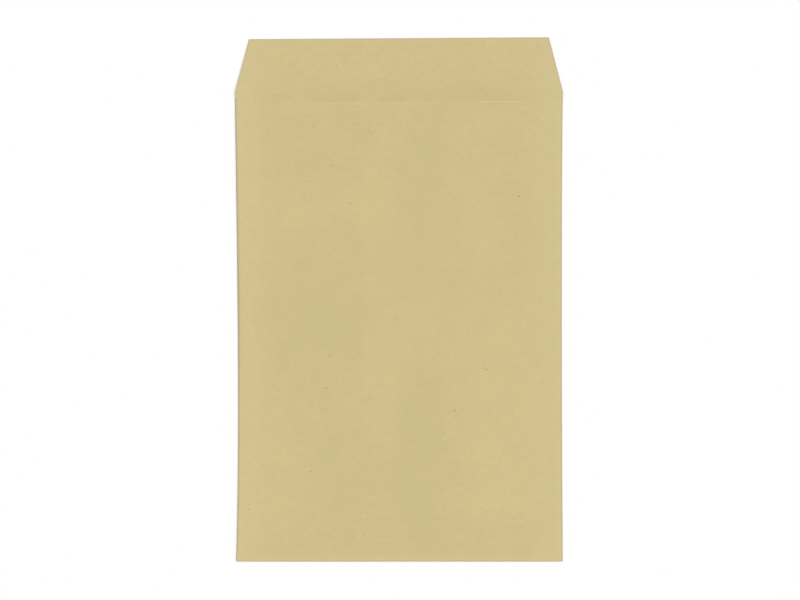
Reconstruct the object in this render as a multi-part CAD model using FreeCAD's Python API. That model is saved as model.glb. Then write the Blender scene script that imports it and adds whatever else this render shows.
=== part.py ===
import FreeCAD, Part
import math
import os

from FreeCAD import Vector

# A plain pocket envelope of buff manila paper, lying on its back with the closing flap open.
# It is one sheet, cut, scored, folded and glued. The front panel carries the closing flap at its
# head, a side panel at each side and a bottom flap at its foot. The side panels fold behind and
# lap at a glued seam down the back. The bottom flap folds up behind them and is glued on.
# Lengths are millimetres. X runs across, Y from the foot to the closing flap, and Z up from the
# surface that the envelope lies on. The sheet is drawn with Y from the outside of the bottom
# fold, and moved at the end, so that the origin is under the middle of its outline.

# Paper, and how far the folds spring the pocket open
paper = 0.13
pocket_gap = 1.0

# Pocket, from fold to fold and from the bottom fold to the crease
pocket_width = 229.0
pocket_height = 324.0

# Closing flap, from the crease to its free edge, which is cut a little out of square
flap_depth = 41.5
flap_edge_width = 209.6
flap_edge_skew = 1.3
flap_corner_radius = 0.8

# The flap keeps the pocket's full width for this far past the crease, and then tapers
shoulder_rise = 4.1

# Crease of the closing flap, pressed into the face
score_width = 0.9
score_depth = 0.03

# Side folds stop short of the crease, beside a small notch
fold_stop = 0.5

# Throat: the head of the side panels, below the crease, rising to the ends of the side folds
throat_drop = 2.8
throat_run = 31.0
throat_blend_radius = 25.0

# Seam down the back, where one side panel steps up by the paper's thickness over the other
seam_lap = 17.5
seam_step_run = 1.5
seam_corner_radius = 4.0

# Foot of the side panels, which rises towards the seam to clear the bottom fold
panel_foot_rise = 2.0

# Bottom flap
bottom_flap_depth = 28.0
bottom_flap_taper = 11.0
bottom_flap_corner_radius = 9.0

# The back steps up by the paper's thickness over the bottom flap's free edge
back_step_clearance = 0.3
back_step_run = 2.0

# Cut at each bottom corner that keeps the two folds apart
corner_relief = 0.4

# Levels of the front wall, which is flat over the whole pocket
front_under = paper + pocket_gap
front_top = front_under + paper

# The folds are half rings between the front wall and what lies behind it
bottom_fold_radius = front_top / 2
fold_x = pocket_width / 2 - front_top / 2
foot_x = fold_x - corner_relief

# Places along the envelope
side_foot = bottom_fold_radius + corner_relief
back_step_start = bottom_flap_depth + back_step_clearance
back_step_end = back_step_start + back_step_run
crease = pocket_height
fold_end = crease - fold_stop
throat = crease - throat_drop
shoulder = crease + shoulder_rise
flap_reach = crease + flap_depth + flap_edge_skew / 2

# The seam and the step in it, seen from the face
seam_edge_outer = -seam_lap
seam_edge_inner = 0
seam_step_start = seam_edge_outer - seam_step_run

UP = Vector(0, 0, 1)
ALONG_X = Vector(1, 0, 0)
ALONG_Y = Vector(0, 1, 0)


def corner_arc(before, corner, after, radius):
    """The arc that rounds a corner of an outline that runs from before to after."""
    to_before = (before - corner).normalize()
    to_after = (after - corner).normalize()
    half_angle = to_before.getAngle(to_after) / 2
    setback = radius / math.tan(half_angle)
    inward = (to_before + to_after).normalize()
    middle = corner + inward * (radius / math.sin(half_angle) - radius)
    return Part.Arc(corner + to_before * setback, middle, corner + to_after * setback)


def flat_shape(corners, level):
    """A flat face at a level, through corners of (x, y, radius), each rounded to its radius."""
    points = [Vector(x, y, level) for x, y, _ in corners]
    stations = []
    for i, (_, _, radius) in enumerate(corners):
        if radius == 0:
            stations.append((points[i], [], points[i]))
            continue
        after = points[(i + 1) % len(points)]
        arc = corner_arc(points[i - 1], points[i], after, radius)
        stations.append((arc.StartPoint, [arc.toShape()], arc.EndPoint))
    edges = []
    for (_, rounding, leave), (arrive, _, _) in zip(stations, stations[1:] + stations[:1]):
        edges += rounding + [Part.makeLine(leave, arrive)]
    return Part.Face(Part.Wire(edges))


def front_and_closing_flap():
    """The front panel and closing flap, whose free edge comes down to the surface below."""
    half_width = pocket_width / 2
    half_edge = flap_edge_width / 2
    edge_left = flap_reach - flap_edge_skew
    section = [
        Vector(-half_width, bottom_fold_radius, front_under),
        Vector(-half_width, crease, front_under),
        Vector(-half_width, flap_reach, 0),
        Vector(-half_width, flap_reach, paper),
        Vector(-half_width, crease, front_top),
        Vector(-half_width, bottom_fold_radius, front_top),
    ]
    bent = Part.Face(Part.makePolygon(section + section[:1])).extrude(ALONG_X * pocket_width)
    outline = [
        (-foot_x, bottom_fold_radius, 0),
        (foot_x, bottom_fold_radius, 0),
        (fold_x, side_foot, 0),
        (fold_x, fold_end, 0),
        (half_width, crease, 0),
        (half_width, shoulder, 0),
        (half_edge, flap_reach, flap_corner_radius),
        (-half_edge, edge_left, flap_corner_radius),
        (-half_width, shoulder, 0),
        (-half_width, crease, 0),
        (-fold_x, fold_end, 0),
        (-fold_x, side_foot, 0),
    ]
    return bent.common(flat_shape(outline, 0).extrude(UP * front_top)).cut(crease_groove())


def crease_groove():
    """The shallow V that the scoring wheel leaves across the face, from side to side."""
    start_x = -pocket_width / 2 - score_width
    corners = [
        Vector(start_x, crease - score_width / 2, front_top),
        Vector(start_x, crease, front_top - score_depth),
        Vector(start_x, crease + score_width / 2, front_top),
        Vector(start_x, crease, front_top + score_depth),
    ]
    profile = Part.Face(Part.makePolygon(corners + corners[:1]))
    return profile.extrude(ALONG_X * (pocket_width + 2 * score_width))


def half_ring(centre, outward, outer_radius):
    """The outer and inner arcs of a fold that bulges outward about centre, top end first."""
    inner_radius = outer_radius - paper
    top = centre + UP * outer_radius
    bottom = centre - UP * outer_radius
    outer = Part.Arc(top, centre + outward * outer_radius, bottom).toShape()
    inner_top = centre + UP * inner_radius
    inner_bottom = centre - UP * inner_radius
    inner = Part.Arc(inner_bottom, centre + outward * inner_radius, inner_top).toShape()
    return outer, inner


def side_section(side, underside, place, level):
    """The section at a place of a fold and its panel: side is 1 on the right, -1 on the left.

    The underside is a list of (x, rise) from the fold to the panel's free edge, and level is
    the height that the back lies at there.
    """
    radius = (front_top - level) / 2
    centre = Vector(side * fold_x, place, level + radius)
    outer, inner = half_ring(centre, ALONG_X * side, radius)
    below = [Vector(x, place, level + rise) for x, rise in underside]
    above = [point + UP * paper for point in reversed(below)]
    foot = centre - UP * radius
    panel = Part.makePolygon([foot] + below + above + [foot + UP * paper])
    close = Part.makeLine(centre + UP * (radius - paper), centre + UP * radius)
    return Part.Wire([outer] + panel.Edges + [inner, close])


def side_panel(side, underside):
    """A side fold and its panel, which steps up behind to lie over the bottom flap."""
    over_flap = side_section(side, underside, side_foot, paper)
    step_foot = side_section(side, underside, back_step_start, paper)
    step_head = side_section(side, underside, back_step_end, 0)
    lower = Part.Face(over_flap).extrude(ALONG_Y * (back_step_start - side_foot))
    step = Part.makeLoft([step_foot, step_head], True, True)
    upper = Part.Face(step_head).extrude(ALONG_Y * (fold_end - back_step_end))
    free_edge_x = underside[-1][0]
    beyond_fold = side * pocket_width
    outline = [
        (beyond_fold, side_foot, 0),
        (side * fold_x, side_foot, 0),
        (free_edge_x, side_foot + panel_foot_rise, seam_corner_radius),
        (free_edge_x, throat, seam_corner_radius),
        (side * (fold_x - throat_run), throat, throat_blend_radius),
        (side * fold_x, fold_end, 0),
        (beyond_fold, fold_end, 0),
    ]
    blank = flat_shape(outline, 0).extrude(UP * front_top)
    return lower.multiFuse([step, upper]).common(blank)


def outer_side_panel():
    """The right-hand panel, which lies flat and reaches past the middle by the seam's lap."""
    return side_panel(1, [(seam_edge_outer, 0)])


def inner_side_panel():
    """The left-hand panel, which steps up over the other at the seam and ends at the middle."""
    underside = [(seam_step_start, 0), (seam_edge_outer, paper), (seam_edge_inner, paper)]
    return side_panel(-1, underside)


def bottom_fold():
    """The fold across the foot, between the two corner cuts."""
    centre = Vector(-foot_x, bottom_fold_radius, bottom_fold_radius)
    outer, inner = half_ring(centre, -ALONG_Y, bottom_fold_radius)
    outside = UP * bottom_fold_radius
    inside_foot = Vector(-foot_x, bottom_fold_radius, paper)
    inside_top = Vector(-foot_x, bottom_fold_radius, front_under)
    lower_end = Part.makeLine(centre - outside, inside_foot)
    upper_end = Part.makeLine(inside_top, centre + outside)
    return Part.Face(Part.Wire([outer, lower_end, inner, upper_end])).extrude(ALONG_X * 2 * foot_x)


def bottom_flap():
    """The tapered flap under the back, glued to both side panels."""
    narrow_x = foot_x - bottom_flap_taper
    outline = [
        (-foot_x, bottom_fold_radius, 0),
        (foot_x, bottom_fold_radius, 0),
        (narrow_x, bottom_flap_depth, bottom_flap_corner_radius),
        (-narrow_x, bottom_flap_depth, bottom_flap_corner_radius),
    ]
    return flat_shape(outline, 0).extrude(UP * paper)


def envelope():
    """The whole folded sheet as one solid, with the origin under the middle of its outline."""
    sheet = front_and_closing_flap().multiFuse(
        [inner_side_panel(), outer_side_panel(), bottom_fold(), bottom_flap()]
    )
    sheet = sheet.removeSplitter()
    sheet.translate(-ALONG_Y * (flap_reach / 2))
    return sheet


os.makedirs("parts", exist_ok=True)
folded = envelope()
folded.Solids[0].exportStep("parts/envelope.step")
print("envelope: solids", len(folded.Solids), "valid", folded.isValid(), "volume", folded.Volume)
print("size", folded.BoundBox.XLength, folded.BoundBox.YLength, folded.BoundBox.ZLength)
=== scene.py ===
import math

import bmesh
import bpy
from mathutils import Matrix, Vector, noise


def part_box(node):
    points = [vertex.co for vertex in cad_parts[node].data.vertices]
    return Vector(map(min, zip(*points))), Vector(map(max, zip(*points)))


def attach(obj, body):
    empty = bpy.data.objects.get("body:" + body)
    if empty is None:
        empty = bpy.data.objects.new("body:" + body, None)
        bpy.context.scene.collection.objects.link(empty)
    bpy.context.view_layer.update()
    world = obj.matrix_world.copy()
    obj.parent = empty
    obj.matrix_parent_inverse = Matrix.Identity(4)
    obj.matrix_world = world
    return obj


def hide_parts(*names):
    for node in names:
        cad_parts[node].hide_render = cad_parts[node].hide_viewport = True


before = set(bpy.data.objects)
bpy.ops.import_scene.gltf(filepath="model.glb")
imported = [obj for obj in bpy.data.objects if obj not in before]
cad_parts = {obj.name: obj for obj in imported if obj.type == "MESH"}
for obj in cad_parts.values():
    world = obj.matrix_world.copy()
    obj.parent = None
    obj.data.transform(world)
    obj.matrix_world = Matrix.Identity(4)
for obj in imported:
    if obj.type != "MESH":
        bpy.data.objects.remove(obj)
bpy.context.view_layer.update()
low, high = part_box("envelope")
print("frame loaded:", sorted(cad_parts))

# A manila pocket envelope that lies face up with its closing flap open. One sheet of paper:
# the whole folded blank is modelled as one thin surface, and then given its thickness.
# Metres, in the frame of the solid: X across, Y from the bottom fold to the flap, Z up.
mm = 0.001

envelope = {
    "paper": 0.13 * mm,
    "gluedGap": 0.004 * mm,          # between glued layers, so that they don't share a surface
    "pocketHeight": 324 * mm,        # bottom fold to crease
    "cornerRelief": 0.15 * mm,       # cut between the bottom fold and each side fold
    "foldStop": 0.5 * mm,            # the side folds end this far below the crease
    "flapDepth": 41.5 * mm,          # crease to the middle of the free edge
    "flapEdgeWidth": 209.6 * mm,
    "flapEdgeSkew": 1.3 * mm,        # the free edge's right end stands further out
    "flapCorner": 0.8 * mm,
    "shoulderRise": 4.1 * mm,        # full width past the crease, then the taper
    "throatDrop": 2.8 * mm,          # the panels' head lies this far below the crease
    "throatRun": 31 * mm,            # and slopes up to the side folds over this
    "throatBlend": 1.5 * mm,
    "seamLap": 17.5 * mm,
    "seamStep": 1.5 * mm,
    "seamCorner": 4 * mm,
    "panelFootRise": 2 * mm,
    "bottomFlapDepth": 28 * mm,
    "bottomFlapTaper": 11 * mm,
    "bottomFlapCorner": 9 * mm,
    "backStepStart": 28.3 * mm,      # from the bottom fold, where the back comes down off the flap
    "backStepRun": 2 * mm,

    # How far each side fold draws in from a straight line, as handled paper does. Skew under 1
    # brings the deepest place nearer the foot, broad under 1 widens it, and lean is added at the foot.
    "sideBow": {
        "left": {"depth": 1.85 * mm, "skew": 0.71, "broad": 1.0, "lean": 0.65 * mm},
        "right": {"depth": 0.8 * mm, "skew": 1.2, "broad": 0.6, "lean": 0.0},
    },

    # The front wall's low relief: how it sags between the folds and lies over what is behind it
    "relief": {
        "sag": 0.36 * mm,
        "sagEdge": 11 * mm,          # the folds hold the wall up over this distance
        "waves": 0.24 * mm,
        "waveSizes": ((13, 6, 1.0), (31, 17, 0.5)),   # waves a metre across and along, and share
        "seamRise": 0.07 * mm,
        "seamSoftSide": (-29 * mm, -15 * mm),
        "seamCrispSide": (-2.5 * mm, 1.8 * mm),
        "seamFade": 6 * mm,          # it fades out over this below the throat
        "pinch": 0.58 * mm,          # the two bottom corners are pinched this much flatter
        "pinchReach": 14 * mm,
        "pinchRows": 3 * mm,         # the foot that it lets down is taken up again over this
        "throatRidge": 0.2 * mm,     # pressed into the wall by the head of the panels behind
        "throatPocketSide": 1.6 * mm,    # the ridge climbs evenly over this
        "throatFarSide": 2.6 * mm,       # and falls away more gently beyond
        "throatFarPower": 1.2,           # 2 would give it a round crest, and 1 a sharp one
        "throatDip": 0.75 * mm,          # width of a dip just before the ridge
        "throatSoftEnd": 2 * mm,
        "throatContacts": (              # from, to, ridge, dip before it, how far below the panels' head
            (-58 * mm, -25 * mm, 1.25, 0.0, 0.25 * mm),
            (-12 * mm, -1 * mm, 1.25, 0.0, 0.25 * mm),
            (-1 * mm, 9.5 * mm, 1.6, 0.1, 0.3 * mm),
            (19 * mm, 27 * mm, 0.85, 0.1, 0.05 * mm),
            (36 * mm, 49 * mm, 0.7, 0.1, -0.2 * mm),
            (53 * mm, 86 * mm, 0.5, 0.6, -0.5 * mm),
        ),
        "fallStart": 0.3 * mm,       # above the throat the wall drops off the back panels
        "fallSlant": 0.009,          # the drop lies further up towards the right
        "fallDepth": 0.24 * mm,
        "fallRun": 8.4 * mm,
        "fallFlare": 0.35,           # how much steeper it drops at first
        "sideEase": 12 * mm,         # near the head the sides come down a little over this, to the level
        "sideShare": 0.03,           # that the wall has this share of its half width further in
        "creaseDepth": 0.006 * mm,
        "creaseWidth": 0.9 * mm,
        "flapCurl": 0.10 * mm,
        "curlWaves": 14,             # a metre
        "curlPlace": 4.2,            # where in the noise they are taken from
        "flapBend": 1.08,            # 1 is a straight flap, and more bends it down later
    },

    # How dark the folds are rubbed and painted with shade, and how far in from a fold or cut edge the face
    # is, and how dark
    "wearAndShade": {
        "fold": 0.8,
        # the left fold's darkening is painted shade, on the side turned away from the key light
        "left": (1.3 * mm, 0.45),
        "right": (0.5 * mm, 0.5),
        "foot": (0.5 * mm, 0.35),
        "flap": (0.9 * mm, 0.55),
        "leftShadeAt": 0 * mm,         # the painted shade along the left fold is darkest about here
        "leftShadeRun": 55 * mm,
        "leftShadeLine": 0.2,
        "leftBroadShade": 0.12,
        "shadeReach": 5 * mm,
    },

    # Face sizes: across the front wall, up the pocket and flaps, and across a side panel
    "ringSteps": 10,                 # round each fold
    "columns": {"fold": 0.4 * mm, "edge": 1.1 * mm, "wall": 1.9 * mm},
    "rows": {
        "throat": 0.3 * mm, "foot": 0.5 * mm, "shoulder": 0.75 * mm, "backStep": 1 * mm,
        "flap": 2.4 * mm, "low": 3 * mm, "wall": 3.4 * mm,
    },
    "panelColumns": {"step": 0.5 * mm, "fold": 1 * mm, "lap": 3 * mm, "wall": 4 * mm},
    "cornerSteps": {"flap": 5, "seam": 8, "bottomFlap": 12},
}
relief = envelope["relief"]
wearAndShade = envelope["wearAndShade"]

halfPaper = envelope["paper"] / 2
layer = envelope["paper"] + envelope["gluedGap"]
topLevel = high.z - halfPaper        # the middle of the paper in the front wall, at its folds
foldX = high.x - high.z / 2
footLine = low.y + high.z / 2        # the front wall meets the bottom fold here
sideFoot = footLine + envelope["cornerRelief"]
creaseY = low.y + envelope["pocketHeight"]
foldEnd = creaseY - envelope["foldStop"]
throatY = creaseY - envelope["throatDrop"]
shoulderY = creaseY + envelope["shoulderRise"]
flapEndY = creaseY + envelope["flapDepth"]


def smooth(value, start, end):
    t = min(max((value - start) / (end - start), 0.0), 1.0)
    return t * t * (3 - 2 * t)


def hold(distance, width):           # 0 at a fold, 1 well away from it
    return 1 - math.exp(-(max(distance, 0.0) / width) ** 2)


def steps(start, end, size):         # evenly spaced, both ends included
    count = max(1, math.ceil(abs(end - start) / size - 1e-6))
    return [start + (end - start) * i / count for i in range(count + 1)]


def rounding(end, corner, count):    # places over a rounded corner that ends there, closer towards its end
    return [end - corner * (1 - math.sin(math.pi / 2 * i / count)) for i in range(count + 1)]


def joined(*runs):                   # runs of places end to end, without the repeats
    places = list(runs[0])
    for run in runs[1:]:
        places += run[1:] if abs(run[0] - places[-1]) < 1e-9 else run
    return places


def roundedSide(along, base, depth, taper, radius):
    # half width of a tapered flap with rounded corners, at a distance along it
    slope = taper / depth
    lean = math.atan(slope)
    centre = base - (radius + (depth - radius) * math.sin(lean)) / math.cos(lean)
    if along <= depth - radius + radius * math.sin(lean):
        return base - along * slope
    return centre + math.sqrt(max(radius ** 2 - (along - depth + radius) ** 2, 0.0))


def drawnIn(y, side):                # how far a side fold stands in from straight, at y
    bow = envelope["sideBow"][side]
    t = min(max((y - footLine) / (foldEnd - footLine), 0.0), 1.0)
    curve = math.sin(math.pi * t ** bow["skew"])
    return bow["depth"] * max(curve, 0.0) ** bow["broad"] + bow["lean"] * (1 - t)


def cornerPinch(fromSide, y):        # how much lower the front wall lies near a bottom corner
    away = math.hypot(max(fromSide, 0.0), y - footLine)
    return relief["pinch"] * math.exp(-(away / relief["pinchReach"]) ** 2)


def sideAt(y, side):                 # half width of the front wall and closing flap, at y
    if y <= foldEnd:                 # where a side fold is narrower the wall reaches further out
        wider = (cornerPinch(0.0, y) + backLevel(y)) / 2
        cut = envelope["cornerRelief"] * max(1 - (y - footLine) / envelope["cornerRelief"], 0.0)
        return foldX + wider - cut - drawnIn(y, side)
    if y <= creaseY:
        return foldX + (high.x - foldX) * (y - foldEnd) / (creaseY - foldEnd)
    taperDepth = flapEndY - shoulderY
    taper = high.x - envelope["flapEdgeWidth"] / 2
    return roundedSide(max(y - shoulderY, 0.0), high.x, taperDepth, taper, envelope["flapCorner"])


def xAcross(share, y):               # share runs from -1 on the left side to 1 on the right
    left, right = -sideAt(y, "left"), sideAt(y, "right")
    return left + (right - left) * (share + 1) / 2


def throatPress(x, y):               # how hard the panels' head presses on the front wall there
    soft, climb = relief["throatSoftEnd"], relief["throatPocketSide"]
    press = 0.0
    for start, end, ridge, dip, below in relief["throatContacts"]:
        inside = smooth(x, start - soft, start + soft) * (1 - smooth(x, end - soft, end + soft))
        past = y - throatY + below
        if past > 0:
            height = ridge * math.exp(-(past / relief["throatFarSide"]) ** relief["throatFarPower"])
        elif past > -climb:
            height = ridge + (ridge + dip) * past / climb
        else:
            height = -dip * max(1 + (past + climb) / relief["throatDip"], 0.0)
        press += inside * height
    return press


def fromNearSide(x, y):
    return min(x + sideAt(y, "left"), sideAt(y, "right") - x)


def frontHeight(x, y):               # the middle of the paper in the front wall
    fromSide = fromNearSide(x, y)
    held = hold(fromSide, relief["sagEdge"]) * hold(y - footLine, relief["sagEdge"])
    wave = sum(
        share * noise.noise(Vector((x * across, y * along, across)))
        for across, along, share in relief["waveSizes"]
    )
    height = topLevel - held * (relief["sag"] + relief["waves"] * wave)
    height -= cornerPinch(fromSide, y)
    belowThroat = 1 - smooth(y, throatY - relief["seamFade"], throatY)
    overSeam = smooth(x, *relief["seamSoftSide"]) * (1 - smooth(x, *relief["seamCrispSide"]))
    height += held * relief["seamRise"] * overSeam * belowThroat
    height += held * relief["throatRidge"] * throatPress(x, y)
    past = (y - throatY + relief["fallStart"] - relief["fallSlant"] * x) / relief["fallRun"]
    beyond = min(max(past, 0.0), 1.0)
    height -= held * relief["fallDepth"] * beyond * (1 + relief["fallFlare"] * (1 - beyond ** 2))
    groove = max(1 - abs(y - creaseY) / (relief["creaseWidth"] / 2), 0.0)
    return height - relief["creaseDepth"] * groove


def besideSide(x, y):                # where the wall's height is taken from: near the head, further in
    eased = smooth(y, foldEnd - relief["sideEase"], foldEnd)
    return x * (1 - relief["sideShare"] * eased)


def flapPoint(share, y):             # the closing flap, sheared to its slanted free edge
    x = xAcross(share, y)
    edgeHalf = envelope["flapEdgeWidth"] / 2
    s = (y - creaseY) / envelope["flapDepth"]
    slantedY = y + s * envelope["flapEdgeSkew"] / 2 * x / edgeHalf
    wave = noise.noise(Vector((x * relief["curlWaves"], relief["curlPlace"], 0.0)))
    curl = relief["flapCurl"] * (1 + wave) / 2
    resting = halfPaper + curl * s
    hingeX = x * sideAt(creaseY, "left") / sideAt(y, "left")
    carried = frontHeight(besideSide(hingeX, y), min(y, creaseY + relief["fallRun"]))
    return Vector((x, slantedY, carried + (resting - carried) * s ** relief["flapBend"]))


def footDrawn(x, y):                 # the wall's foot reaches down where the bottom fold is narrower
    fading = 1 - smooth(y, footLine, footLine + relief["pinchRows"])
    return cornerPinch(fromNearSide(x, y), footLine) / 2 * fading


def wallPoint(share, y):
    if y > creaseY:
        return flapPoint(share, y)
    x = xAcross(share, y)
    return Vector((x, y - footDrawn(x, y), frontHeight(besideSide(x, y), y)))


def backLevel(y):                    # how high the back lies over the table and the bottom flap
    start = low.y + envelope["backStepStart"]
    return layer * (1 - smooth(y, start, start + envelope["backStepRun"]))


def ring(top, bottom, outward, turn):   # a point round a fold, from its top to its bottom
    radius = (top.z - bottom) / 2
    centre = Vector((top.x, top.y, top.z - radius))
    return centre + outward * (radius * math.sin(turn)) + Vector((0, 0, radius * math.cos(turn)))


def foldTurns():
    return [math.pi * i / envelope["ringSteps"] for i in range(envelope["ringSteps"] + 1)]


def rubbedAndPaintedLight(side, distance, y=0.0):   # how dark the face is at a distance from a fold or an edge: rubbed wear and painted shade
    reach, most = wearAndShade[side]
    line = 1 - smooth(distance, 0.0, reach)
    if side != "left":
        return most * line
    # a broader painted shade along the middle of the left fold
    leftShading = math.exp(-((y - wearAndShade["leftShadeAt"]) / wearAndShade["leftShadeRun"]) ** 2)
    shade = wearAndShade["leftBroadShade"] * (1 - smooth(distance, 0.0, wearAndShade["shadeReach"]))
    return most * line + leftShading * (wearAndShade["leftShadeLine"] * line + shade)


def foldWearAndShade(side, turn, y=0.0):     # rubbed wear and painted shade, darkest at the middle of the fold, and gone behind
    ahead = rubbedAndPaintedLight(side, 0.0, y) if turn < math.pi / 2 else 0.0
    return ahead + (wearAndShade["fold"] - ahead) * math.sin(turn)


# the face's rubbed wear and painted shade along the folds and cut edges
def wornAndShadedAt(x, y):
    return max(
        rubbedAndPaintedLight("left" if y < creaseY else "flap", x + sideAt(y, "left"), y),
        rubbedAndPaintedLight("right" if y < creaseY else "flap", sideAt(y, "right") - x),
        rubbedAndPaintedLight("foot", y - footLine),
        rubbedAndPaintedLight("flap", flapEndY - y),
    )


def throatAt(fromFold, fromEdge):    # the head of a side panel
    rise = envelope["throatDrop"] - envelope["foldStop"]
    run, blend = envelope["throatRun"], envelope["throatBlend"]
    if fromFold < run - blend:
        y = throatY + rise * (1 - fromFold / run)
    else:
        y = throatY + rise / run * max(run + blend - fromFold, 0.0) ** 2 / (4 * blend)
    return y - cornerCut(fromEdge)


def panelFootAt(share, fromEdge):
    return sideFoot + envelope["panelFootRise"] * share + cornerCut(fromEdge)


def cornerCut(fromEdge):             # the rounded corners at the seam
    radius = envelope["seamCorner"]
    if fromEdge >= radius:
        return 0.0
    return radius - math.sqrt(max(radius ** 2 - (radius - fromEdge) ** 2, 0.0))


def panelPoint(side, share, y):      # a side panel behind the pocket, share 0 at its fold
    sign = -1 if side == "left" else 1
    freeEdge = 0.0 if side == "left" else -envelope["seamLap"]
    fold = sign * sideAt(y, side)
    x = fold + (freeEdge - fold) * share
    fromEdge = abs(freeEdge - x)
    head = throatAt(abs(x - fold), fromEdge)
    foot = panelFootAt(share, fromEdge)
    placed = foot + (head - foot) * (y - sideFoot) / (foldEnd - sideFoot)
    height = halfPaper + backLevel(placed)
    if side == "left":
        stepEnd = -envelope["seamLap"]
        height += layer * smooth(x, stepEnd - envelope["seamStep"], stepEnd)
    return Vector((x, placed - footDrawn(x, placed), height))


def flapUnderPoint(share, along):    # the bottom flap, at a distance from its fold
    depth = envelope["bottomFlapDepth"] - high.z / 2
    left, right = (
        roundedSide(along, sideAt(footLine, side), depth,
                    envelope["bottomFlapTaper"], envelope["bottomFlapCorner"])
        for side in ("left", "right")
    )
    x = -left + (left + right) * (share + 1) / 2
    return Vector((x, footLine + along, halfPaper))


def columnsAcross():                 # places across the front wall, from -1 to 1
    size = envelope["columns"]
    rubbedBand, edgeBand, seamBand = 1.6 * mm, 6 * mm, 4 * mm
    towardsSide = joined(
        steps(0, seamBand, size["edge"]),
        steps(seamBand, foldX - edgeBand, size["wall"]),
        steps(foldX - edgeBand, foldX - rubbedBand, size["edge"]),
        steps(foldX - rubbedBand, foldX, size["fold"]),
    )
    left = [-x / foldX for x in reversed(towardsSide)]
    return left + [x / foldX for x in towardsSide[1:]]


def rowsOfPocket():                  # places up the pocket, from the side folds' foot to their end
    size = envelope["rows"]
    footBand = sideFoot + 3 * mm
    stepFrom, stepTo = low.y + 24 * mm, low.y + 32 * mm   # about the end of the bottom flap behind
    nearThroat = throatY - 2.4 * mm
    return joined(
        steps(sideFoot, footBand, size["foot"]),
        steps(footBand, stepFrom, size["low"]),
        steps(stepFrom, stepTo, size["backStep"]),
        steps(stepTo, nearThroat, size["wall"]),
        steps(nearThroat, foldEnd, size["throat"]),
    )


def rowsOfFlap():
    size = envelope["rows"]
    corner = envelope["flapCorner"]
    nearCrease = creaseY + 1.2 * mm
    return joined(
        steps(creaseY, nearCrease, size["throat"]),
        steps(nearCrease, shoulderY, size["shoulder"]),
        steps(shoulderY, flapEndY - corner, size["flap"]),
        rounding(flapEndY, corner, envelope["cornerSteps"]["flap"]),
    )


def addGrid(mesh, rows):             # faces through rows of (place, place on the blank, wear and painted shade)
    blank = mesh.verts.layers.float_vector["blank"]
    wornAndShaded = mesh.verts.layers.float["wornAndShaded"]
    grid = []
    for row in rows:
        grid.append([])
        for place, (across, along), dark in row:
            vert = mesh.verts.new(place)
            vert[blank] = (across, along, 0)
            vert[wornAndShaded] = dark
            grid[-1].append(vert)
    for lower, upper in zip(grid, grid[1:]):
        for i in range(len(lower) - 1):
            mesh.faces.new((lower[i], lower[i + 1], upper[i + 1], upper[i])).smooth = True


def buildFront(mesh):
    rows = []
    for y in joined([footLine], rowsOfPocket(), [foldEnd, creaseY], rowsOfFlap()):
        points = [wallPoint(share, y) for share in columnsAcross()]
        rows.append([(p, (p.x, p.y), wornAndShadedAt(p.x, y)) for p in points])
    addGrid(mesh, rows)


def buildBottom(mesh):               # the bottom fold and the flap that it carries
    shares = columnsAcross()
    radius = (topLevel - halfPaper) / 2
    depth = envelope["bottomFlapDepth"] - high.z / 2
    corner = envelope["bottomFlapCorner"]
    downFlap = joined(
        steps(0, depth - corner, envelope["rows"]["flap"]),
        rounding(depth, corner, envelope["cornerSteps"]["bottomFlap"]),
    )
    rows = []
    for along in reversed(downFlap[1:]):
        points = [flapUnderPoint(share, along) for share in shares]
        rows.append([(p, (p.x, footLine - radius * math.pi - along), 0.0) for p in points])
    tops = [wallPoint(share, footLine) for share in shares]
    for turn in reversed(foldTurns()):
        points = [ring(top, halfPaper, Vector((0, -1, 0)), turn) for top in tops]
        dark = foldWearAndShade("foot", turn)
        rows.append([(p, (p.x, footLine - radius * turn), dark) for p in points])
    addGrid(mesh, rows)


def panelPlaces(side):               # places across a side panel, from its fold to its free edge
    length = foldX + (0.0 if side == "left" else envelope["seamLap"])
    step = length - (envelope["seamLap"] + envelope["seamStep"] / 2)
    corner = envelope["seamCorner"]
    size = envelope["panelColumns"]
    foldBand, stepBand = 4 * mm, 2 * mm
    return [place / length for place in joined(
        steps(0, foldBand, size["fold"]),
        steps(foldBand, step - stepBand, size["wall"]),
        steps(step - stepBand, step + stepBand, size["step"]),
        steps(step + stepBand, length - corner, size["lap"]),
        rounding(length, corner, envelope["cornerSteps"]["seam"]),
    )]


def buildSide(mesh, side):           # a side fold and the panel that it carries
    sign = -1 if side == "left" else 1
    outward = Vector((sign, 0, 0))
    rows = []
    for y in rowsOfPocket():
        edge = wallPoint(sign, y)
        bottom = panelPoint(side, 0.0, y).z
        radius = (edge.z - bottom) / 2
        row = []
        for turn in foldTurns():
            place = (edge.x + sign * radius * turn, y)
            row.append((ring(edge, bottom, outward, turn), place, foldWearAndShade(side, turn, y)))
        for share in panelPlaces(side)[1:]:
            p = panelPoint(side, share, y)
            row.append((p, (edge.x + sign * (radius * math.pi + abs(p.x - edge.x)), p.y), 0.0))
        rows.append(row if side == "right" else row[::-1])   # so that the faces turn outwards
    addGrid(mesh, rows)


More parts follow.
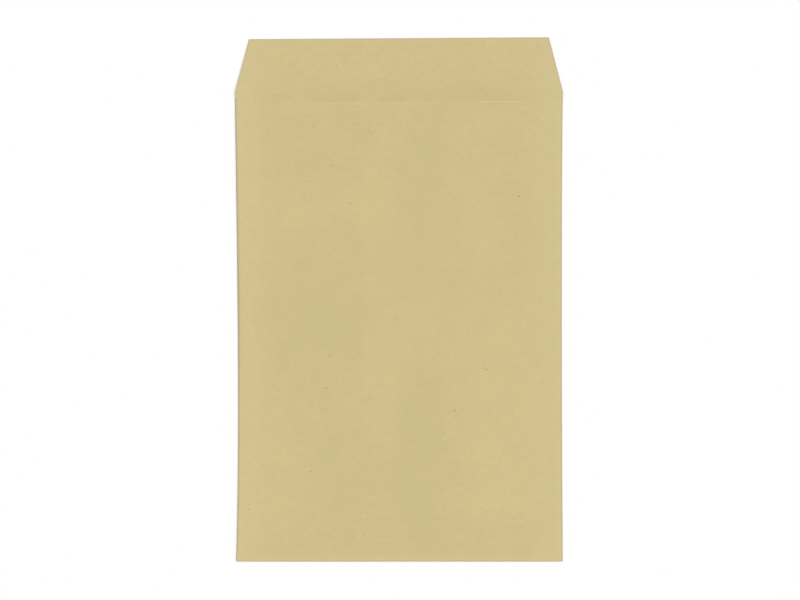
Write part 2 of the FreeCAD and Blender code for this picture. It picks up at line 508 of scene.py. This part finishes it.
def makeSheet():
    mesh = bmesh.new()
    mesh.verts.layers.float_vector.new("blank")      # each point's place on the flat blank
    mesh.verts.layers.float.new("wornAndShaded")              # how dark it is rubbed and painted with shade
    buildFront(mesh)
    buildBottom(mesh)
    buildSide(mesh, "left")
    buildSide(mesh, "right")
    bmesh.ops.remove_doubles(mesh, verts=mesh.verts, dist=2e-6)
    mesh.normal_update()
    blank = mesh.verts.layers.float_vector["blank"]
    area = sum(face.calc_area() for face in mesh.faces)
    across = [vert[blank].x for vert in mesh.verts]
    along = [vert[blank].y for vert in mesh.verts]
    data = bpy.data.meshes.new("foldedSheet")
    mesh.to_mesh(data)
    mesh.free()
    sheet = bpy.data.objects.new("foldedSheet", data)
    bpy.context.scene.collection.objects.link(sheet)
    return sheet, (max(across) - min(across), max(along) - min(along)), area


def thicken(sheet):                  # half the paper's thickness to each side of the surface
    modifier = sheet.modifiers.new("Thickness", "SOLIDIFY")
    modifier.thickness = envelope["paper"]
    modifier.offset = 0
    modifier.use_even_offset = True
    modifier.material_offset = 1
    modifier.material_offset_rim = 2
    bpy.context.view_layer.objects.active = sheet
    bpy.ops.object.modifier_apply(modifier=modifier.name)
    sheet.data.set_sharp_from_angle(angle=math.radians(50))


def addNode(tree, kind, inputs=None, **settings):
    made = tree.nodes.new(kind)
    for name, value in settings.items():
        setattr(made, name, value)
    for name, value in (inputs or {}).items():
        if isinstance(value, bpy.types.NodeSocket):
            tree.links.new(value, made.inputs[name])
        else:
            made.inputs[name].default_value = value
    return made


def maths(tree, operation, *values):
    return addNode(tree, "ShaderNodeMath", dict(enumerate(values)), operation=operation).outputs[0]


def vectorMaths(tree, operation, *values):
    return addNode(tree, "ShaderNodeVectorMath", dict(enumerate(values)), operation=operation).outputs[0]


def distanceTo(tree, place, x, y):   # from a place that is given in mm
    spot = (x * mm, y * mm, 0)
    inputs = {0: place, 1: spot}
    return addNode(tree, "ShaderNodeVectorMath", inputs, operation="DISTANCE").outputs["Value"]


def ramp(tree, value, start, end, low=0.0, high=1.0):   # a soft change of level between two places
    return addNode(tree, "ShaderNodeMapRange", {
        "Value": value, "From Min": start, "From Max": end, "To Min": low, "To Max": high,
    }, interpolation_type="SMOOTHSTEP").outputs["Result"]


def grain(tree, place, scale, detail=2.0, roughness=0.5, distortion=0.0):
    return addNode(tree, "ShaderNodeTexNoise", {
        "Vector": place, "Scale": scale, "Detail": detail,
        "Roughness": roughness, "Distortion": distortion,
    })


def evenGrain(tree, place, scale, amount, detail=1.0):   # a grain about zero
    level = grain(tree, place, scale, detail=detail).outputs["Fac"]
    return maths(tree, "MULTIPLY_ADD", level, 2 * amount, -amount)


def total(tree, values):
    added = values[0]
    for value in values[1:]:
        added = maths(tree, "ADD", added, value)
    return added


def mixed(tree, share, first, second):
    return addNode(tree, "ShaderNodeMix", {"Factor": share, "A": first, "B": second},
                   data_type="RGBA").outputs["Result"]


def wandering(tree, place, scale, reach):               # a place pushed about, for ragged outlines
    push = vectorMaths(tree, "SUBTRACT", grain(tree, place, scale).outputs["Color"], (0.5, 0.5, 0.5))
    return vectorMaths(tree, "MULTIPLY_ADD", push, (reach, reach, 0), place)


# The paper's finish. Places are on the flat blank, which has the front's own places in the
# middle, so that nothing shows twice where the sheet is folded behind. Grains are so many a metre.
manila = {
    "warm": (0.6490, 0.5345, 0.2612, 1),
    "grey": (0.6050, 0.4945, 0.2533, 1),
    "rubbedAndPaintedLight": (0.6525, 0.5380, 0.2795, 1),      # painted light: the borders lighter
    # the folds' and edges' rubbed darkening and painted shade
    "foldLine": (0.4000, 0.3400, 0.2050, 1),
    "fleck": (0.2300, 0.1900, 0.1200, 1),
    "paleFleck": (0.7600, 0.6600, 0.4000, 1),
    "gum": (0.5500, 0.4450, 0.2050, 1),
    "cut": (0.6900, 0.5950, 0.3700, 1),
    "roughness": 0.86,
    "gumRoughness": 0.42,
    "sheen": 0.25,
    "warmth": 0.42,                              # halfway between grey and warm, where nothing varies it
    "seamWarmth": 0.14,                          # the front is paler over the seam's two layers
    "seamSoftSide": (-29 * mm, -23 * mm),
    "seamCrispSide": (-8 * mm, 2.5 * mm),
    "seamAlong": (-105 * mm, -70 * mm),
    "mottle": ((18, 0.34), (60, 0.36), (170, 0.36), (420, 0.26)),            # grain, strength
    "speckle": ((110, 0.012), (260, 0.013), (800, 0.015), (2400, 0.042)),
    "fibres": ((520, 0.030, -0.10), (900, 0.024, 0.07)),                     # grain, width, tone
    "fibreCurl": 1.4,
    "fibreBreaks": (0.5, 0.62),
    "toothGrains": (420, 2600),                  # a felt's grain, and a finer one
    "fineTooth": 0.35,                           # how much the finer one counts
    "faceTooth": 0.011 * mm,
    "insideTooth": 0.013 * mm,
    "edgeTooth": 0.02 * mm,
    "gumFrom": 5 * mm,                           # the gum strip, from the closing flap's free edge
    "gumTo": 24 * mm,
    "gumHalfWidth": 97 * mm,
    "gumSoft": 0.5 * mm,
    "gumRagged": (300, 1.6 * mm),                # grain of its outline, and how far it wanders
    "gumGrain": 60,
    "gumCover": (0.55, 0.9),
    "cutGrain": 1500,
    # patches in the folds' wear and painted shade
    "wearAndShadeGrain": 130,
    "wearAndShadeCover": (0.75, 1.0),

    # Painted light, lighter towards the borders: how far from the middle it starts and is full, or how
    # wide it is, and how much
    "broadBorder": (84 * mm, 106 * mm, 0.7),
    "narrowBorder": (107 * mm, foldX, 0.55),
    "footBorder": (10 * mm, 0.7),
    "flapBorder": (5 * mm, 0.5),
    "mostBorder": 1.4,

    "cloudRagged": (30, 22 * mm),                # grain of their outlines, and how far they wander
    "cloudEdge": (0.35, 1.25),                   # where they start to fade and end, by their size
    "cloudStrength": 0.25,
    # Soft clouds: middle x and y, half width, half height, all in mm, and how warm or grey
    "clouds": (
        (-46, -4, 44, 60, -1.0),
        (14, 78, 22, 50, -0.9),
        (14, -110, 24, 72, -1.2),
        (-40, 116, 52, 26, -0.5),
        # the grey band across the crease is painted shade, where the wall falls away towards it
        (0, 145, 95, 9, -0.7),
        (-50, -112, 20, 32, -0.6),
        (-70, 66, 36, 22, 1.0),
        (-21, 66, 16, 34, 0.8),
        (-15, -62, 20, 44, 0.8),
        (72, -92, 44, 84, 1.1),
        (-88, -122, 24, 66, 1.0),
        (58, 60, 26, 60, 0.7),
        (-52, 168, 62, 18, 0.8),
        (56, 168, 60, 18, 0.6),
    ),

    "fleckRagged": (1600, 0.5 * mm),
    # Flecks in the face, boldest first: radius in mm, strength, and their places in mm
    "flecks": (
        (0.42, 0.85, ((39, -77.5), (61, -49), (84, 72), (-50.5, -62))),
        (0.38, 0.58, ((-24, -164), (-34, 67), (-61, -120), (-46.5, 93.5))),
        (0.38, 0.46, ((-104.5, -146.5), (-43.5, 163.5), (34.5, 12), (-1, -13))),
        (0.34, 0.42, ((-8.5, 105.5), (57.5, -146), (16, 145.5), (-64, 83), (43.5, 140.5), (59.5, -43),
                      (-20.5, 117.5), (-47.5, -23.5), (-49, -39), (64.5, 116))),
        (0.36, 0.20, ((-44.5, -14), (10, -90), (42.5, -56.5), (-14, -169.5), (-96.5, 68.5), (9, 50.5),
                      (67.5, 58.5), (71, -111.5), (78.5, 17.5), (-68, 152), (86.5, 160.5))),
    ),
    "paleFlecks": ((-103, 139.5), (2.5, 171)),
    "paleFleckEdge": (0.3 * mm, 0.8 * mm),
    "paleFleckStrength": 0.7,
    "strewnBehind": (17 * mm, 0.5 * mm, 0.6),    # spacing, size and strength behind and inside
    "strewnFine": (5 * mm, 0.3 * mm, 0.10),      # and of the finest ones on the face
}


def cloudiness(tree, place):         # 0 where the pulp is grey, 1 where it is warm
    ragged = wandering(tree, place, *manila["cloudRagged"])
    inner, outer = manila["cloudEdge"]
    parts = []
    for x, y, halfWidth, halfHeight, strength in manila["clouds"]:
        scale = (1 / (halfWidth * mm), 1 / (halfHeight * mm), 0)
        near = vectorMaths(tree, "MULTIPLY_ADD", ragged, scale, (-x / halfWidth, -y / halfHeight, 0))
        tone = manila["cloudStrength"] * strength
        parts.append(ramp(tree, distanceTo(tree, near, 0, 0), inner, outer, tone, 0.0))
    for scale, amount in manila["mottle"]:
        parts.append(evenGrain(tree, place, scale, amount))
    return maths(tree, "ADD", total(tree, parts), manila["warmth"])


def seamStrip(tree, across, along):  # 1 where the seam's two layers lie behind the front
    strip = maths(tree, "MULTIPLY", ramp(tree, across, *manila["seamSoftSide"]),
                  ramp(tree, across, *manila["seamCrispSide"], 1.0, 0.0))
    return maths(tree, "MULTIPLY", strip, ramp(tree, along, *manila["seamAlong"]))


def paintedLightBorders(tree, across, along):    # painted light, paler towards the sides, the foot and the flap's edge
    fromMiddle = maths(tree, "ABSOLUTE", across)
    parts = []
    for border in ("broadBorder", "narrowBorder"):
        start, end, most = manila[border]
        parts.append(ramp(tree, fromMiddle, start, end, 0.0, most))
    width, most = manila["footBorder"]
    parts.append(ramp(tree, along, low.y + width, low.y, 0.0, most))
    width, most = manila["flapBorder"]
    parts.append(ramp(tree, along, flapEndY - width, flapEndY, 0.0, most))
    return maths(tree, "MINIMUM", total(tree, parts), manila["mostBorder"])


def placedFlecks(tree, place):
    ragged = wandering(tree, place, *manila["fleckRagged"])
    found = 0.0
    for size, strength, spots in manila["flecks"]:
        for x, y in spots:
            away = distanceTo(tree, ragged, x, y)
            spot = ramp(tree, away, size * mm, 1.5 * size * mm, strength, 0.0)
            found = maths(tree, "MAXIMUM", found, spot)
    return found


def strewnFlecks(tree, place, spacing, size, strength):   # of random size, most too small to see
    cells = addNode(tree, "ShaderNodeTexVoronoi", {
        "Vector": wandering(tree, place, *manila["fleckRagged"]),
        "Scale": 1 / spacing, "Randomness": 1.0,
    }, feature="F1", voronoi_dimensions="2D")
    chance = addNode(tree, "ShaderNodeSeparateColor", {"Color": cells.outputs["Color"]}).outputs[0]
    reach = maths(tree, "MULTIPLY", ramp(tree, chance, 0.35, 1.0), size / spacing)
    share = maths(tree, "DIVIDE", cells.outputs["Distance"], maths(tree, "ADD", reach, 1e-4))
    return ramp(tree, share, 0.6, 1.0, strength, 0.0)


def threads(tree, place, scale, width, tone):   # curled fibres, where a grain passes its middle level
    level = grain(tree, place, scale, detail=1.0, distortion=manila["fibreCurl"]).outputs["Fac"]
    off = maths(tree, "ABSOLUTE", maths(tree, "SUBTRACT", level, 0.5))
    thread = ramp(tree, off, width / 4, width, tone, 0.0)
    broken = ramp(tree, grain(tree, place, scale / 3).outputs["Fac"], *manila["fibreBreaks"])
    return maths(tree, "MULTIPLY", thread, broken)


def fineTone(tree, place, colour):   # the pulp's speckle and fibres, seen from close by
    parts = [evenGrain(tree, place, scale, amount) for scale, amount in manila["speckle"]]
    parts += [threads(tree, place, *fibre) for fibre in manila["fibres"]]
    return vectorMaths(tree, "MULTIPLY", colour, maths(tree, "ADD", total(tree, parts), 1.0))


def tooth(tree, place, depth):       # the paper's fine roughness
    feltGrain, fineGrain = manila["toothGrains"]
    fine = grain(tree, place, fineGrain, detail=3.0, roughness=0.6).outputs["Fac"]
    felt = grain(tree, place, feltGrain, detail=2.0).outputs["Fac"]
    height = maths(tree, "MULTIPLY_ADD", fine, manila["fineTooth"], felt)
    return addNode(tree, "ShaderNodeBump", {
        "Height": height, "Strength": 1.0, "Distance": depth,
    }).outputs["Normal"]


def newPaper(name):
    material = bpy.data.materials.new(name)
    material.use_nodes = True
    tree = material.node_tree
    shader = tree.nodes["Principled BSDF"]
    shader.inputs["Roughness"].default_value = manila["roughness"]
    shader.inputs["Specular IOR Level"].default_value = manila["sheen"]
    place = addNode(tree, "ShaderNodeAttribute", attribute_name="blank").outputs["Vector"]
    return material, tree, shader, place


def connect(tree, shader, colour, normal):
    tree.links.new(colour, shader.inputs["Base Color"])
    tree.links.new(normal, shader.inputs["Normal"])


def makeFacePaper():                 # the side that shows when the envelope is folded
    material, tree, shader, place = newPaper("manilaFace")
    across, along, _ = addNode(tree, "ShaderNodeSeparateXYZ", {"Vector": place}).outputs
    strip = seamStrip(tree, across, along)
    warmth = maths(tree, "MULTIPLY_ADD", strip, manila["seamWarmth"], cloudiness(tree, place))
    warmth = addNode(tree, "ShaderNodeClamp", {"Value": warmth}).outputs[0]
    colour = mixed(tree, warmth, manila["grey"], manila["warm"])
    colour = mixed(tree, paintedLightBorders(tree, across, along), colour, manila["rubbedAndPaintedLight"])
    colour = fineTone(tree, place, colour)
    pastFold = 1 * mm
    behind = maths(tree, "MAXIMUM",
                   maths(tree, "GREATER_THAN", maths(tree, "ABSOLUTE", across), high.x + pastFold),
                   maths(tree, "LESS_THAN", along, low.y - pastFold))
    strewn = maths(tree, "MULTIPLY", strewnFlecks(tree, place, *manila["strewnBehind"]), behind)
    dark = maths(tree, "MAXIMUM", placedFlecks(tree, place), strewn)
    dark = maths(tree, "MAXIMUM", dark, strewnFlecks(tree, place, *manila["strewnFine"]))
    colour = mixed(tree, dark, colour, manila["fleck"])
    inner, outer = manila["paleFleckEdge"]
    for x, y in manila["paleFlecks"]:
        away = distanceTo(tree, place, x, y)
        pale = ramp(tree, away, inner, outer, manila["paleFleckStrength"], 0.0)
        colour = mixed(tree, pale, colour, manila["paleFleck"])
    # the folds and cut edges darkened: rubbed wear and painted shade
    wornAndShaded = addNode(tree, "ShaderNodeAttribute", attribute_name="wornAndShaded").outputs["Fac"]
    patches = grain(tree, place, manila["wearAndShadeGrain"], detail=3.0).outputs["Fac"]
    uneven = ramp(tree, patches, 0.3, 0.6, *manila["wearAndShadeCover"])
    colour = mixed(tree, maths(tree, "MULTIPLY", wornAndShaded, uneven), colour, manila["foldLine"])
    connect(tree, shader, colour, tooth(tree, place, manila["faceTooth"]))
    return material


def gumStrip(tree, across, along):   # 1 on the gummed strip inside the closing flap
    near, far = flapEndY - manila["gumTo"], flapEndY - manila["gumFrom"]
    halfWidth, soft = manila["gumHalfWidth"], manila["gumSoft"]
    fromMiddle = maths(tree, "ABSOLUTE", across)
    return maths(tree, "MULTIPLY",
                 maths(tree, "MULTIPLY", ramp(tree, along, near - soft, near + soft),
                       ramp(tree, along, far - soft, far + soft, 1.0, 0.0)),
                 ramp(tree, fromMiddle, halfWidth - soft, halfWidth + soft, 1.0, 0.0))


def makeInnerPaper():                # inside the pocket, and the gummed side of the closing flap
    material, tree, shader, place = newPaper("manilaInside")
    mottle = [evenGrain(tree, place, scale, amount) for scale, amount in manila["mottle"]]
    warmth = maths(tree, "ADD", total(tree, mottle), manila["warmth"])
    colour = mixed(tree, warmth, manila["grey"], manila["warm"])
    colour = fineTone(tree, place, colour)
    dark = strewnFlecks(tree, place, *manila["strewnBehind"])
    colour = mixed(tree, dark, colour, manila["fleck"])
    ragged = wandering(tree, place, *manila["gumRagged"])
    across, along, _ = addNode(tree, "ShaderNodeSeparateXYZ", {"Vector": ragged}).outputs
    gummed = gumStrip(tree, across, along)
    patches = grain(tree, place, manila["gumGrain"], detail=3.0).outputs["Fac"]
    thin = ramp(tree, patches, 0.3, 0.7, *manila["gumCover"])
    colour = mixed(tree, maths(tree, "MULTIPLY", gummed, thin), colour, manila["gum"])
    shine = maths(tree, "MULTIPLY_ADD", gummed, manila["gumRoughness"] - manila["roughness"],
                  manila["roughness"])
    tree.links.new(shine, shader.inputs["Roughness"])
    connect(tree, shader, colour, tooth(tree, place, manila["insideTooth"]))
    return material


def makeCutEdge():                   # the paper's cut edges, paler and more fibrous
    material, tree, shader, place = newPaper("cutEdge")
    fibrous = grain(tree, place, manila["cutGrain"], detail=3.0).outputs["Fac"]
    colour = mixed(tree, fibrous, manila["warm"], manila["cut"])
    connect(tree, shader, colour, tooth(tree, place, manila["edgeTooth"]))
    return material


floorLook = {
    "size": 6,                           # metres
    "level": -0.1 * mm,
    "bounce": (0.78, 0.78, 0.78, 1),     # what the object is lit by
    "white": (1, 1, 1, 1),               # what the camera sees
    "shadowFade": 0.6,                   # how much plain white lies over the shadow
}


def looksOn(tree):                   # 1 for what the camera sees, also by way of gloss or glass
    path = addNode(tree, "ShaderNodeLightPath")
    seen = maths(tree, "MAXIMUM", path.outputs["Is Camera Ray"], path.outputs["Is Glossy Ray"])
    return maths(tree, "MAXIMUM", seen, path.outputs["Is Transmission Ray"])


def addFloor():
    bpy.ops.mesh.primitive_plane_add(size=floorLook["size"], location=(0, 0, floorLook["level"]))
    floor = bpy.context.object
    floor.name = "floor"
    material = bpy.data.materials.new("paleFloor")
    material.use_nodes = True
    tree = material.node_tree
    tree.nodes.remove(tree.nodes["Principled BSDF"])
    seen = looksOn(tree)
    tone = mixed(tree, seen, floorLook["bounce"], floorLook["white"])
    lit = addNode(tree, "ShaderNodeBsdfDiffuse", {"Color": tone})
    plain = addNode(tree, "ShaderNodeEmission", {"Color": floorLook["white"], "Strength": 1.0})
    surface = addNode(tree, "ShaderNodeMixShader", {
        0: maths(tree, "MULTIPLY", seen, floorLook["shadowFade"]), 1: lit.outputs[0], 2: plain.outputs[0],
    })
    tree.links.new(surface.outputs[0], tree.nodes["Material Output"].inputs["Surface"])
    floor.data.materials.append(material)


# Soft light from all round, a broad key from the lower right and a weak fill from the other side.
# The levels add up to one on a level surface.
light = {
    "world": 0.50,
    "white": (1, 1, 1, 1),
    "lamps": (
        ("keyLight", (1.3, -1.6, 1.9), 0.42, 22),     # where it stands, level, spread in degrees
        ("fillLight", (-1.6, 1.2, 2.6), 0.08, 50),
    ),
}


def addLight():
    world = bpy.data.worlds.new("studio")
    bpy.context.scene.world = world
    world.use_nodes = True
    tree = world.node_tree
    strength = maths(tree, "MULTIPLY_ADD", looksOn(tree), 1 - light["world"], light["world"])
    tree.nodes["Background"].inputs["Color"].default_value = light["white"]
    tree.links.new(strength, tree.nodes["Background"].inputs["Strength"])
    for name, place, level, spread in light["lamps"]:
        lamp = bpy.data.lights.new(name, "SUN")
        lamp.energy = level * math.pi / Vector(place).normalized().z
        lamp.angle = math.radians(spread)
        lampObject = bpy.data.objects.new(name, lamp)
        lampObject.location = place
        lampObject.rotation_euler = Vector(place).to_track_quat("Z", "Y").to_euler()
        bpy.context.scene.collection.objects.link(lampObject)


photo = {
    "width": 800,                    # pixels
    "height": 600,
    "originX": 398.9,                # where the middle of the envelope's outline shows
    "originY": 299.5,
    "pocketWidth": 328.1,            # pixels across at the shoulders
    "lens": 100,
    "sensor": 36,
}


def addCamera():
    pixel = (high.x - low.x) / photo["pocketWidth"]
    data = bpy.data.cameras.new("camera")
    data.lens = photo["lens"]
    data.sensor_width = photo["sensor"]
    camera = bpy.data.objects.new("camera", data)
    distance = photo["width"] * pixel * photo["lens"] / photo["sensor"]
    camera.location = (
        (photo["width"] / 2 - photo["originX"]) * pixel,
        (photo["originY"] - photo["height"] / 2) * pixel,
        high.z + distance,
    )
    bpy.context.scene.collection.objects.link(camera)
    bpy.context.scene.camera = camera


bpy.context.scene.view_settings.view_transform = "Standard"
addCamera()
addFloor()
addLight()
print("camera, floor and light placed")

sheet, flatSize, flatArea = makeSheet()
for material in (makeFacePaper(), makeInnerPaper(), makeCutEdge()):
    sheet.data.materials.append(material)
thicken(sheet)
print("sheet folded: flat size", [round(x, 4) for x in flatSize], "area", round(flatArea, 4))
print("faces", len(sheet.data.polygons))
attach(sheet, "root")
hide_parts("envelope")
